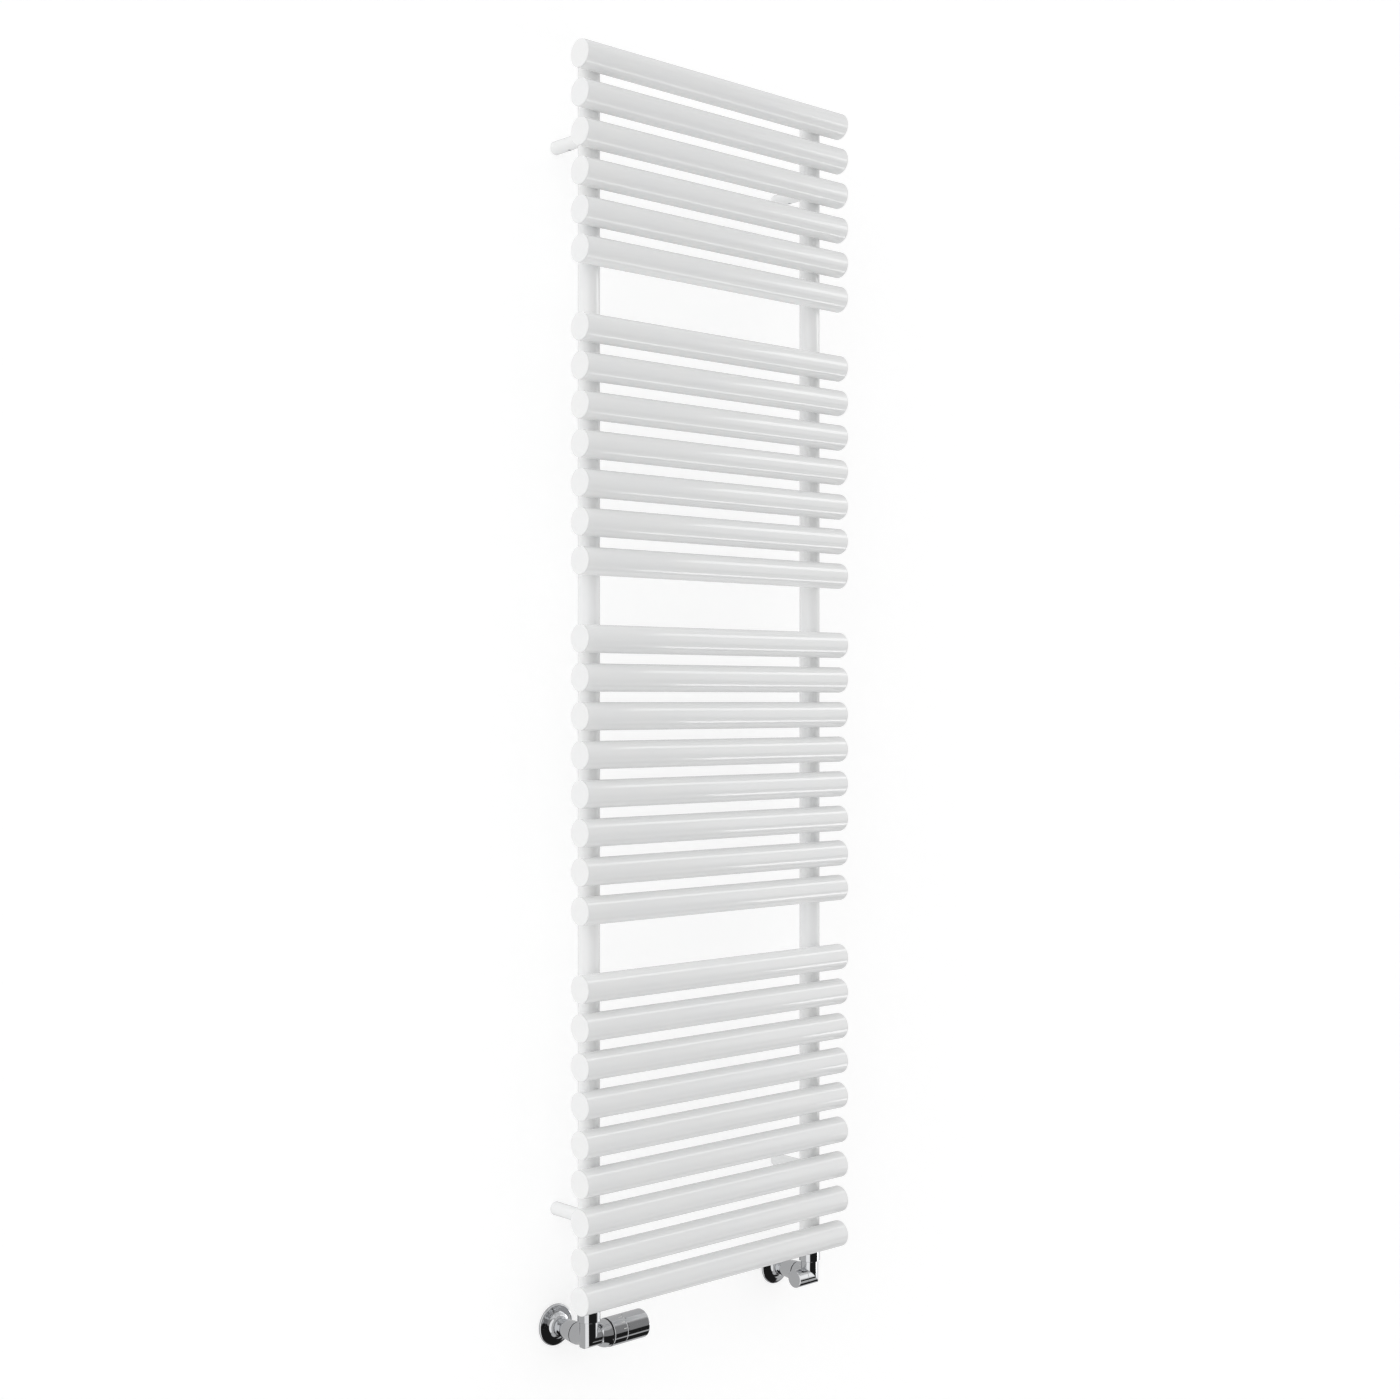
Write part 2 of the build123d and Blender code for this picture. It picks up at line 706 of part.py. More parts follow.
save("thermostatic_insert", thermostatic_insert(left))
save("valve_pin", valve_pin(left))
save("return_spring", return_spring(left))
save("head_collar", head_collar(left))
save("head_base", head_base(left))
save("sensor_capsule", sensor_capsule(left))
save("head_handle", head_handle(left))

save("lockshield_insert", lockshield_insert(right))
save("lockshield_spindle", lockshield_spindle(right))
save("lockshield_disc", lockshield_disc(right))
save("lockshield_cap", lockshield_cap(right))
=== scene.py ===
# %% [markdown]
# Radiator with valve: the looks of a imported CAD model
# The CAD model is loaded as a fixed frame: where every piece is and how it moves is settled
# there. This lesson only gives it its surfaces, materials, light and camera. Everything is in
# metres: X runs along the tubes, Y goes into the wall, Z is up, and the wall is the plane Y = 0.

# %% Load the frame
import json
import math

import bmesh
import bpy
import numpy as np
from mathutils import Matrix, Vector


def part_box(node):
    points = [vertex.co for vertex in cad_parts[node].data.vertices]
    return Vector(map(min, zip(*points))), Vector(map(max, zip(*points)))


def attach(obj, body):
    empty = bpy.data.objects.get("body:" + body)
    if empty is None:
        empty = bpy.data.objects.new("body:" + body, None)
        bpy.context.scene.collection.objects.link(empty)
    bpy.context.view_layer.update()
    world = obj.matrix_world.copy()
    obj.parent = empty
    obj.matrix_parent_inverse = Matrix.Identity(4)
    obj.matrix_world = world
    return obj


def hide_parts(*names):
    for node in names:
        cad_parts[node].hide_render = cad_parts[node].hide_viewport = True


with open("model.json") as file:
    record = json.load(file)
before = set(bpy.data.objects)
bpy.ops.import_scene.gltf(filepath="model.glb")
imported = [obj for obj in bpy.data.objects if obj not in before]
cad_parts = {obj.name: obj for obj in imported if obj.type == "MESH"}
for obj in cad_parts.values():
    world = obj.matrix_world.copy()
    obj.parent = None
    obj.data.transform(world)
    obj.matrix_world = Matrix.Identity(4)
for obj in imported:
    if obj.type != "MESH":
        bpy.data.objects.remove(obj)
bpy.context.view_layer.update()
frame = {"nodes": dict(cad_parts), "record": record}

MM = 0.001
nodes = frame["nodes"]

# %% [markdown]
# Places and sizes come from the frame, never from a second list of numbers. Each tube's axis is
# the middle of its node's box, and so are the axes of the collectors and of the valves.

# %% Measure the frame
def middle(node):
    """Centre of a node's box."""
    low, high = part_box(node)
    return (np.array(low) + np.array(high)) / 2


def half_size(node):
    """Half of a node's box along X, Y and Z."""
    low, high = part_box(node)
    return (np.array(high) - np.array(low)) / 2


TUBE_NODES = sorted(name for name in nodes if name.startswith("tube_") and name[5:].isdigit())
tube_axes = np.array([middle(name) for name in TUBE_NODES])
tube_radius = half_size(TUBE_NODES[0])[2]
tube_half_length = half_size(TUBE_NODES[0])[0]
cap_end = half_size("tube_end_caps")[0]
collector_axes = {side: middle(side + "_collector") for side in ("left", "right")}
collector_radius = half_size("left_collector")[0]
valve_z = middle("sensor_capsule")[2]
valve_centres = {
    side: np.array([axis[0], axis[1], valve_z]) for side, axis in collector_axes.items()
}
print("tubes:", len(TUBE_NODES), "of", round(tube_radius / MM, 2), "mm radius")

# %% [markdown]
# Materials are small node trees. One function adds a node, with its settings and links, and
# another turns a colour as a person writes it (sRGB hex) into the linear numbers of the shader.
# A Mix node keeps a socket for each kind of value, all with the same names, so these go by number:
# for colours 6 and 7 are mixed into output 2, and for plain numbers 2 and 3 into output 0.

# %% Node and colour helpers
def linear(hex_colour):
    """sRGB hex to linear RGBA: each channel c becomes ((c + 0.055) / 1.055) ** 2.4."""
    channels = [int(hex_colour[i : i + 2], 16) / 255 for i in (1, 3, 5)]
    return [((c + 0.055) / 1.055) ** 2.4 if c > 0.04045 else c / 12.92 for c in channels] + [1.0]


def add_node(tree, kind, settings=None, sockets=None):
    """Adds a node, sets its properties, and fills or links its inputs."""
    made = tree.nodes.new(kind)
    for name, value in (settings or {}).items():
        setattr(made, name, value)
    for name, value in (sockets or {}).items():
        if isinstance(value, bpy.types.NodeSocket):
            tree.links.new(value, made.inputs[name])
        else:
            made.inputs[name].default_value = value
    return made


def empty_material(name):
    """New material with an empty tree and Object coordinates to read."""
    material = bpy.data.materials.new(name)
    material.use_nodes = True
    tree = material.node_tree
    tree.nodes.clear()
    place = add_node(tree, "ShaderNodeTexCoord").outputs["Object"]
    return material, tree, place


def finish_surface(tree, shader):
    """Links a shader to the tree's output."""
    output = add_node(tree, "ShaderNodeOutputMaterial")
    tree.links.new(shader.outputs[0], output.inputs["Surface"])


# %% [markdown]
# ## White powder coat
# The radiator is steel that was sprayed with dry polyester powder and baked. The powder melts
# into a thick film with an orange-peel skin: low waves about 2 mm apart, with finer ones on
# them. It is a dielectric (IOR 1.5) with a fairly high gloss. The skin is a bump from one noise
# that has finer detail on it, and a second, much larger noise varies the gloss and the white,
# as the thickness of the film does.

# %% Powder coat
def powder_coat():
    """White polyester film with orange peel in its relief and slow changes in white and gloss."""
    material, tree, place = empty_material("baked_white_powder_coat")
    peel = add_node(
        tree,
        "ShaderNodeTexNoise",
        sockets={"Vector": place, "Scale": 1 / (2.2 * MM), "Detail": 3.0, "Roughness": 0.45},
    )
    skin = add_node(
        tree,
        "ShaderNodeBump",
        sockets={"Height": peel.outputs["Fac"], "Strength": 0.12, "Distance": 0.008 * MM},
    )
    film = add_node(
        tree,
        "ShaderNodeTexNoise",
        sockets={"Vector": place, "Scale": 1 / (60 * MM), "Detail": 2.0},
    )
    gloss = add_node(
        tree,
        "ShaderNodeMapRange",
        sockets={"Value": film.outputs["Fac"], "To Min": 0.07, "To Max": 0.1},
    )
    white = add_node(
        tree,
        "ShaderNodeMix",
        {"data_type": "RGBA"},
        {"Factor": film.outputs["Fac"], 6: linear("#f0f1f2"), 7: linear("#f3f3f2")},
    )
    shader = add_node(
        tree,
        "ShaderNodeBsdfPrincipled",
        sockets={
            "Base Color": white.outputs[2],
            "Roughness": gloss.outputs["Result"],
            "IOR": 1.5,
            "Normal": skin.outputs["Normal"],
        },
    )
    finish_surface(tree, shader)
    return material


# %% [markdown]
# ## Metals
# The valves are brass, mirror polished and chrome plated. The brackets' inner parts are zinc
# plated, the plugs nickel plated, and the valves' insides are bare turned brass. All are fully
# metallic with the default IOR, and differ in colour, roughness and in the marks of their
# making: buffing haze, zinc's crystals, or the fine rings that a lathe leaves.

# %% Polished chrome
def polished_chrome():
    """Chrome plate with buffing haze in its gloss and low buffing waves in its relief."""
    material, tree, place = empty_material("polished_chrome_plate")
    haze = add_node(
        tree,
        "ShaderNodeTexNoise",
        sockets={"Vector": place, "Scale": 1 / (9 * MM), "Detail": 5.0, "Roughness": 0.6},
    )
    rough = add_node(
        tree,
        "ShaderNodeMapRange",
        sockets={"Value": haze.outputs["Fac"], "To Min": 0.035, "To Max": 0.085},
    )
    buffing = add_node(
        tree,
        "ShaderNodeTexNoise",
        sockets={"Vector": place, "Scale": 1 / (1.6 * MM), "Detail": 2.0},
    )
    waves = add_node(
        tree,
        "ShaderNodeBump",
        sockets={"Height": buffing.outputs["Fac"], "Strength": 0.06, "Distance": 0.01 * MM},
    )
    shader = add_node(
        tree,
        "ShaderNodeBsdfPrincipled",
        sockets={
            "Base Color": linear("#d3d4d6"),
            "Metallic": 1.0,
            "Roughness": rough.outputs["Result"],
            "Normal": waves.outputs["Normal"],
        },
    )
    finish_surface(tree, shader)
    return material


# %% [markdown]
# Zinc and nickel settle in crystals, so a Voronoi pattern changes their colour and gloss from
# cell to cell. A lathe leaves fine rings, which are bands across the axis of the part.

# %% Plated and bare metals
def plated_metal(name, light, dark, grain, rough):
    """Metal whose colour and gloss change from crystal to crystal, grain metres across."""
    material, tree, place = empty_material(name)
    crystals = add_node(
        tree,
        "ShaderNodeTexVoronoi",
        sockets={"Vector": place, "Scale": 1 / grain},
    )
    tone = add_node(
        tree,
        "ShaderNodeMix",
        {"data_type": "RGBA"},
        {"Factor": crystals.outputs["Color"], 6: linear(dark), 7: linear(light)},
    )
    gloss = add_node(
        tree,
        "ShaderNodeMapRange",
        sockets={"Value": crystals.outputs["Distance"], "To Min": rough, "To Max": rough + 0.12},
    )
    shader = add_node(
        tree,
        "ShaderNodeBsdfPrincipled",
        sockets={
            "Base Color": tone.outputs[2],
            "Metallic": 1.0,
            "Roughness": gloss.outputs["Result"],
        },
    )
    finish_surface(tree, shader)
    return material


def turned_metal(name, light, dark, feed, rough):
    """Metal with lathe rings along X. The wave repeats every 2 pi feeds, which is coarser than a
    lathe leaves them, so that they show."""
    material, tree, place = empty_material(name)
    rings = add_node(
        tree,
        "ShaderNodeTexWave",
        {"bands_direction": "X"},
        {"Vector": place, "Scale": 1 / (feed * 20), "Distortion": 0.6, "Detail": 2.0},
    )
    tone = add_node(
        tree,
        "ShaderNodeMix",
        {"data_type": "RGBA"},
        {"Factor": rings.outputs["Fac"], 6: linear(dark), 7: linear(light)},
    )
    grooves = add_node(
        tree,
        "ShaderNodeBump",
        sockets={"Height": rings.outputs["Fac"], "Strength": 0.3, "Distance": 0.02 * MM},
    )
    shader = add_node(
        tree,
        "ShaderNodeBsdfPrincipled",
        sockets={
            "Base Color": tone.outputs[2],
            "Metallic": 1.0,
            "Roughness": rough,
            "Normal": grooves.outputs["Normal"],
        },
    )
    finish_surface(tree, shader)
    return material


# %% [markdown]
# ## Dark gap rings and plastic
# The rings between the chrome parts are near-black: they paint the shade of the narrow gaps between
# those parts, with the finish of rubber. The cradle inside the head is white moulded ABS. Both are
# dielectrics with a fine grain from the mould.

# %% Moulded finishes: dark gap rings (painted shade) and plastic
def moulded(name, light, dark, grain, rough, ior):
    """Dielectric with a mould grain, grain metres across, in its colour and its relief."""
    material, tree, place = empty_material(name)
    noise = add_node(
        tree,
        "ShaderNodeTexNoise",
        sockets={"Vector": place, "Scale": 1 / grain, "Detail": 4.0},
    )
    tone = add_node(
        tree,
        "ShaderNodeMix",
        {"data_type": "RGBA"},
        {"Factor": noise.outputs["Fac"], 6: linear(dark), 7: linear(light)},
    )
    relief = add_node(
        tree,
        "ShaderNodeBump",
        sockets={"Height": noise.outputs["Fac"], "Strength": 0.25, "Distance": 0.03 * MM},
    )
    shader = add_node(
        tree,
        "ShaderNodeBsdfPrincipled",
        sockets={
            "Base Color": tone.outputs[2],
            "Roughness": rough,
            "IOR": ior,
            "Normal": relief.outputs["Normal"],
        },
    )
    finish_surface(tree, shader)
    return material


# %% [markdown]
# Each finish has a slot in the record. The CAD nodes that stay get their slot's finish here, and
# the new pieces below take theirs from the same table.

# %% Finish for each slot
FINISHES = {
    "white_powder_coat": powder_coat(),
    "polished_chrome": polished_chrome(),
    "zinc_plated_steel": plated_metal("zinc_plated_steel", "#c3c6c9", "#a9adb1", 1.4 * MM, 0.3),
    "nickel_plated_brass": plated_metal("nickel_plated_brass", "#cdc8bd", "#bfb9ab", 3 * MM, 0.16),
    "spring_steel": turned_metal("drawn_spring_steel", "#8f9092", "#77787b", 0.3 * MM, 0.3),
    "brass": turned_metal("turned_brass", "#d8b56a", "#c29c50", 0.25 * MM, 0.22),
    "aluminium": turned_metal("turned_aluminium", "#cfd1d3", "#b9bcbf", 0.25 * MM, 0.28),
    # black_rubber: near-black rings between the chrome parts, painted shade of the gaps there
    "black_rubber": moulded("black_rubber", "#1b1b1c", "#131314", 0.5 * MM, 0.55, 1.5),
    "white_plastic": moulded("moulded_white_plastic", "#e6e6e1", "#dcdcd6", 0.6 * MM, 0.4, 1.5),
}
slot_of = {part["node"]: part["material_slot"] for part in frame["record"]["subparts"]}
for name, node in nodes.items():
    for place in node.material_slots:
        place.material = FINISHES[slot_of[name]]
print("finishes:", len(FINISHES))

# %% [markdown]
# ## Turned surfaces
# Nearly every piece here was turned, drawn or spun, so it is a profile carried round an axis. A
# real edge is never sharp: it is broken with a small round that catches the light. The profile
# is a list of corners (radius, station, rounding), and each corner becomes an arc with one
# extra point just outside each end, which keeps the flat faces flat in smooth shading.

# %% Profile and grid helpers
GUARD = 1.3  # how far from its corner an extra point lies, where the arc's own end is 1


def rounded_profile(corners, steps=4):
    """Corners to points. With unit directions a and b from corner C to its neighbours and h half
    the angle between them, the arc's centre is C + (a + b) / |a + b| * rounding / sin(h), and it
    touches the sides rounding / tan(h) away from C."""
    corners = np.array(corners, float)
    points = []
    for i, (radius, station, rounding) in enumerate(corners):
        corner = np.array([radius, station])
        if rounding == 0:
            points.append(corner)
            continue
        back = corners[i - 1, :2] - corner
        on = corners[(i + 1) % len(corners), :2] - corner
        back /= np.linalg.norm(back)
        on /= np.linalg.norm(on)
        half = np.arccos(np.clip(back @ on, -1, 1)) / 2
        reach = rounding / np.tan(half)
        centre = corner + (back + on) / np.linalg.norm(back + on) * rounding / np.sin(half)
        first = corner + back * reach - centre
        last = corner + on * reach - centre
        turn = np.pi - 2 * half
        k = np.linspace(0, 1, steps + 1)[:, None]
        arc = centre + (np.sin((1 - k) * turn) * first + np.sin(k * turn) * last) / np.sin(turn)
        points.append(corner + back * reach * GUARD)
        points.extend(arc)
        points.append(corner + on * reach * GUARD)
    return np.array(points)


def turned_grid(profile, origin, axis, around):
    """Grid of a turned part: origin + axis * station + radius * (u cos t + v sin t)."""
    axis = np.array(axis, float)
    u = np.array([0.0, 0.0, 1.0]) if abs(axis[2]) < 0.5 else np.array([1.0, 0.0, 0.0])
    v = np.cross(axis, u)
    t = np.linspace(0, 2 * np.pi, around, endpoint=False)
    ring = np.cos(t)[:, None] * u + np.sin(t)[:, None] * v
    radius, station = profile[:, 0], profile[:, 1]
    return np.array(origin) + station[:, None, None] * axis + radius[:, None, None] * ring


def grid_faces(copies, rows, columns, loop_rows):
    """Corner numbers of the quads of several equal grids; columns always close on themselves."""
    r = np.arange(rows if loop_rows else rows - 1)
    c = np.arange(columns)
    r, c = np.meshgrid(r, c, indexing="ij")
    r_on = (r + 1) % rows
    c_on = (c + 1) % columns
    corners = [r * columns + c, r * columns + c_on, r_on * columns + c_on, r_on * columns + c]
    quads = np.stack(corners, -1)
    shift = np.arange(copies)[:, None, None] * rows * columns
    return (quads.reshape(1, -1, 4) + shift).reshape(-1, 4)


# %% [markdown]
# One function turns grids into a finished piece. Where a profile starts or ends on its axis, a
# whole row of points falls together, so the doubles are merged first and the faces are turned
# outwards after that.

# %% Grids to a finished piece
def piece(name, grids, slot, body, replaced=(), loop_rows=True, material=None):
    """One object from an array of grids (copies, rows, columns, 3), with poles merged, normals
    turned outwards and smooth shading, riding on a body."""
    grids = np.array(grids)
    if grids.ndim == 3:
        grids = grids[None]
    copies, rows, columns, _ = grids.shape
    mesh = bpy.data.meshes.new(name)
    faces = grid_faces(copies, rows, columns, loop_rows)
    mesh.from_pydata(grids.reshape(-1, 3), [], faces.tolist())
    shell = bmesh.new()
    shell.from_mesh(mesh)
    bmesh.ops.remove_doubles(shell, verts=shell.verts, dist=0.0005 * MM)
    bmesh.ops.recalc_face_normals(shell, faces=shell.faces)
    shell.to_mesh(mesh)
    shell.free()
    mesh.polygons.foreach_set("use_smooth", np.ones(len(mesh.polygons), bool))
    mesh.materials.append(material or FINISHES[slot])
    made = bpy.data.objects.new(name, mesh)
    bpy.context.scene.collection.objects.link(made)
    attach(made, body)
    if replaced:
        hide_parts(*replaced)
    print(name, len(mesh.polygons), "faces")
    return made


# %% [markdown]
# ## Heating tubes
# Each tube is welded steel tube, 38 x 1.5 mm, cut square. A drawn surface could come from a
# cylinder primitive, but its end edges would be knife sharp. The closed outline of the tube's
# wall, carried round the axis, gives an outside, a bore and two softly broken ends at once.

# %% Heating tubes
TUBE_WALL = 1.5 * MM
TUBE_EDGE = 0.12 * MM
COAT = "white_powder_coat"
X_AXIS = (1, 0, 0)


def tube_outline(radius, wall, half_length, edge):
    """Closed outline of a tube's wall, with both outer edges rounded."""
    inner = radius - wall
    return rounded_profile(
        [
            (inner, -half_length, 0),
            (radius, -half_length, edge),
            (radius, half_length, edge),
            (inner, half_length, 0),
        ]
    )


outline = tube_outline(tube_radius, TUBE_WALL, tube_half_length, TUBE_EDGE)
for name, axis in zip(TUBE_NODES, tube_axes):
    piece("heating_" + name, turned_grid(outline, axis, X_AXIS, 72), COAT, "radiator", [name])

# %% [markdown]
# ## End caps
# A pressed steel disc closes each tube end. It is welded in and ground, so from the side one
# sees a flat white disc with a narrow bevelled rim. The bevel is what catches the light all
# round the disc. All the caps of a side are one array of grids: a turned outline, repeated at
# every tube's height.

# %% End caps
CAP_BEVEL = 0.8 * MM
spigot_radius = tube_radius - TUBE_WALL - 0.05 * MM
spigot_end = tube_half_length - 3 * MM
cap_outline = rounded_profile(
    [
        (0, spigot_end, 0),
        (spigot_radius, spigot_end, 0),
        (spigot_radius, tube_half_length, 0),
        (tube_radius, tube_half_length, 0),
        (tube_radius, cap_end - CAP_BEVEL, 0.25 * MM),
        (tube_radius - CAP_BEVEL, cap_end, 0.3 * MM),
        (0, cap_end, 0),
    ],
    steps=3,
)
for side, sign in (("left", -1), ("right", 1)):
    caps = [turned_grid(cap_outline, axis, (sign, 0, 0), 56) for axis in tube_axes]
    piece(side + "_end_caps", caps, COAT, "radiator", ["tube_end_caps"], loop_rows=False)

# %% [markdown]
# ## Saddle welds
# Every tube lies in a saddle of each collector and is welded round it. The seam is the curve
# where two cylinders meet. It has no simple formula, but at each angle t its distance d from
# the saddle's middle solves
#     sqrt(R_c^2 - (d cos t)^2) + sqrt(R_t^2 - (d sin t)^2) = distance of the two axes
# and halving an interval 40 times finds d for all angles at once. A bead with the ripples of
# the welding torch, softened by the powder coat, is then carried along that curve.

# %% Seam and bead helpers
apart = collector_axes["left"][1] - tube_axes[0][1]


def saddle_curve(angles):
    """Offsets from the tube's axis of the seam between a tube and a collector."""
    low = np.zeros_like(angles)
    high = np.full_like(angles, min(collector_radius, tube_radius))
    for _ in range(40):
        d = (low + high) / 2
        on_collector = np.sqrt(collector_radius**2 - (d * np.cos(angles)) ** 2)
        on_tube = np.sqrt(tube_radius**2 - (d * np.sin(angles)) ** 2)
        inside = on_collector + on_tube > apart
        low = np.where(inside, d, low)
        high = np.where(inside, high, d)
    x = low * np.cos(angles)
    z = low * np.sin(angles)
    y = np.sqrt(tube_radius**2 - z**2)
    return np.stack([x, y, z], -1)


def weld_bead(curve, outward, radius, ripple, ripples):
    """Bead along a closed curve: curve + r(t) * (outward cos b + side sin b), where the radius
    r(t) rises and falls once for each ripple."""
    along = np.roll(curve, -1, 0) - np.roll(curve, 1, 0)
    along /= np.linalg.norm(along, axis=1, keepdims=True)
    outward = outward - (outward * along).sum(1, keepdims=True) * along
    outward /= np.linalg.norm(outward, axis=1, keepdims=True)
    side = np.cross(along, outward)
    t = np.linspace(0, 2 * np.pi, len(curve), endpoint=False)
    b = np.linspace(0, 2 * np.pi, 8, endpoint=False)
    r = (radius + ripple * np.cos(ripples * t))[:, None, None]
    ring = np.cos(b)[None, :, None] * outward[:, None] + np.sin(b)[None, :, None] * side[:, None]
    return curve[:, None] + r * ring


print("axes of tube and collector:", round(apart / MM, 2), "mm apart")

# %% [markdown]
# The bead bulges away from both parts, so its outward direction is the sum of the tube's normal
# and the collector's. One bead is worked out, and copied to every tube.

# %% Saddle welds
BEAD_RADIUS = 1.3 * MM
RIPPLE_HEIGHT = 0.12 * MM
RIPPLES = 30
seam = saddle_curve(np.linspace(0, 2 * np.pi, 120, endpoint=False))
tube_normal = seam * [0, 1, 1] / tube_radius
collector_normal = (seam - [0, apart, 0]) * [1, 1, 0] / collector_radius
bead = weld_bead(seam, tube_normal + collector_normal, BEAD_RADIUS, RIPPLE_HEIGHT, RIPPLES)
for side, axis in collector_axes.items():
    beads = [bead + [axis[0], tube[1], tube[2]] for tube in tube_axes]
    piece(side + "_saddle_welds", beads, COAT, "radiator")

# %% [markdown]
# ## Wall rosettes
# A rosette is a disc of brass, spun into a dish with a raised hub that the sleeve runs into, and
# chrome plated. It could be made of a few cylinders, but what one sees in chrome is the flow of
# one curve into the next. So its outline is a chain of arcs, each given by three of its points,
# and it is carried round the pipe's axis.

# %% Arc helper
def arc_points(start, through, end, steps):
    """Points of the circle through three points, from start to end. Its centre is as far from
    each of the three, which is two linear equations in the centre's coordinates."""
    (ax, ay), (bx, by), (cx, cy) = start, through, end
    d = 2 * (ax * (by - cy) + bx * (cy - ay) + cx * (ay - by))
    squares = [ax * ax + ay * ay, bx * bx + by * by, cx * cx + cy * cy]
    ux = (squares[0] * (by - cy) + squares[1] * (cy - ay) + squares[2] * (ay - by)) / d
    uy = (squares[0] * (cx - bx) + squares[1] * (ax - cx) + squares[2] * (bx - ax)) / d
    angle = np.unwrap([math.atan2(y - uy, x - ux) for x, y in (start, through, end)])
    t = np.linspace(angle[0], angle[2], steps + 1)
    radius = math.hypot(ax - ux, ay - uy)
    return np.stack([ux + radius * np.cos(t), uy + radius * np.sin(t)], -1)


# %% Wall rosettes
# Millimetres: radius from the pipe's axis, and height above the wall.
HUB = 11.3
DISH = 3.4
SHEET = 1.2
rim = half_size("rosettes")[2] / MM
top = -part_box("rosettes")[0][1] / MM
bore = [(HUB, 0.6), (HUB, top - 0.5)]
lip = arc_points((HUB, top - 0.5), (HUB + 0.55, top), (HUB + 1.1, top - 0.55), 6)
throat = arc_points((HUB + 1.2, top - 0.9), (HUB + 3.4, DISH + 3.1), (HUB + 8.2, DISH + 0.75), 12)
dish = arc_points((HUB + 9.0, DISH + 0.6), (HUB + 11.3, DISH + 0.32), (rim - 3.4, DISH - 0.05), 6)
edge = arc_points((rim - 2.7, DISH - 0.1), (rim - 0.7, 2.55), (rim, 1.1), 8)
foot = [(rim, 0.15), (rim - SHEET, 0.05), (rim - SHEET, 1.2)]
back = [(rim - 3.0, DISH - SHEET), (HUB + 7.0, DISH - SHEET), (HUB + 1.5, 2.4), (HUB + 1.2, 0.6)]
rosette_outline = np.concatenate([bore, lip, throat, dish, edge, foot, back]) * MM
rosettes = [
    turned_grid(rosette_outline, (centre[0], 0, centre[2]), (0, -1, 0), 96)
    for centre in valve_centres.values()
]
piece("wall_rosettes", rosettes, "polished_chrome", "radiator", ["rosettes"])

# %% [markdown]
# ## Pipe sleeves
# A sleeve of thin chromed tube hides the pipe between the valve and the rosette. It is drawn to
# a taper that is nearly straight: its radius falls from wide to narrow with the power 1.1 of the
# way along. A cone primitive would have a straight taper and a sharp end.

# %% Pipe sleeves
SLEEVE_WIDE = 15.0 * MM
SLEEVE_NARROW = 11.1 * MM
SLEEVE_WALL = 1.1 * MM
SLEEVE_EDGE = 0.35 * MM
TAPER_POWER = 1.1
sleeve_low, sleeve_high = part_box("pipe_sleeves")
sleeve_start = sleeve_low[1] - valve_centres["left"][1]
sleeve_end = sleeve_high[1] - valve_centres["left"][1]
k = np.linspace(0, 1, 24)
taper = SLEEVE_NARROW + (SLEEVE_WIDE - SLEEVE_NARROW) * (1 - k) ** TAPER_POWER
outside = np.stack([taper, sleeve_start + (sleeve_end - sleeve_start) * k], -1)
outside[0, 1] += SLEEVE_EDGE
outside = np.concatenate([[(SLEEVE_WIDE - SLEEVE_EDGE, sleeve_start)], outside])
inside = outside[::-1] - [SLEEVE_WALL, 0]
sleeve_outline = np.concatenate([outside, inside])
sleeves = [turned_grid(sleeve_outline, centre, (0, 1, 0), 72) for centre in valve_centres.values()]
piece("tapered_pipe_sleeves", sleeves, "polished_chrome", "radiator", ["pipe_sleeves"])

# %% [markdown]
# ## Scale on the handle
# A thermostatic handle carries a printed scale: a stroke for each setting, every second one a
# little wider, and dots between them. Here the marks are only strokes and dots. Each is a
# paint film 0.05 mm thick that is bent round the handle: a grid whose columns run round the
# film's section, and whose rows run along it. The first and last rows lie in one line, so that
# the film closes on itself.

# %% Film for one mark
handle_middle = middle("head_handle")
handle_radius = half_size("head_handle")[2]
FILM = 0.05 * MM


def printed_mark(angle, station, turn, length):
    """Film over a part of a cylinder: radius + film * lift, angle + turn * u, station + length *
    v, with u there and back again, and the lift 1 on the way there and -1 on the way back."""
    u = np.concatenate([np.linspace(-0.5, 0.5, 7), np.linspace(0.5, -0.5, 7)])
    lift = np.concatenate([np.ones(7), -np.ones(7)])
    lift[[0, 6, 7, 13]] = 0
    v = np.array([-0.5, -0.46, 0.0, 0.46, 0.5])
    open_end = np.array([0.0, 1.0, 1.0, 1.0, 0.0])
    radius = handle_radius + FILM * lift[None] * open_end[:, None]
    t = angle + turn * np.broadcast_to(u[None], radius.shape)
    x = handle_middle[0] + station + length * np.broadcast_to(v[:, None], radius.shape)
    y = handle_middle[1] - radius * np.cos(t)
    z = handle_middle[2] + radius * np.sin(t)
    return np.stack([x, y, z], -1)


print("handle:", round(handle_radius / MM, 2), "mm radius")

# %% [markdown]
# The strokes stand in one row round the handle, and the dots in another, nearer its tip. Their
# angles are counted from the side that faces the room, upwards.

# %% Printed marks
STROKES_ALONG = 49.5 * MM
DOTS_ALONG = 56.0 * MM
STROKE_LENGTH = 5.5 * MM
DOT_LENGTH = 1.2 * MM
STROKE_TURN = (0.035, 0.047)  # radians round the handle, narrow and wide in turn
DOT_TURN = 0.07
STROKE_ANGLES = (18, 44, 70, 96, 122, 148)
DOT_ANGLES = (-4, 8, 20, 32, 57, 83, 109, 135)
to_handle = handle_middle[0] - valve_centres["left"][0]
strokes = [
    printed_mark(math.radians(a), STROKES_ALONG - to_handle, STROKE_TURN[i % 2], STROKE_LENGTH)
    for i, a in enumerate(STROKE_ANGLES)
]
dots = [
    printed_mark(math.radians(a), DOTS_ALONG - to_handle, DOT_TURN, DOT_LENGTH) for a in DOT_ANGLES
]
paint_white = moulded("printed_white_paint", "#f1f1ee", "#e4e4e0", 0.4 * MM, 0.45, 1.5)
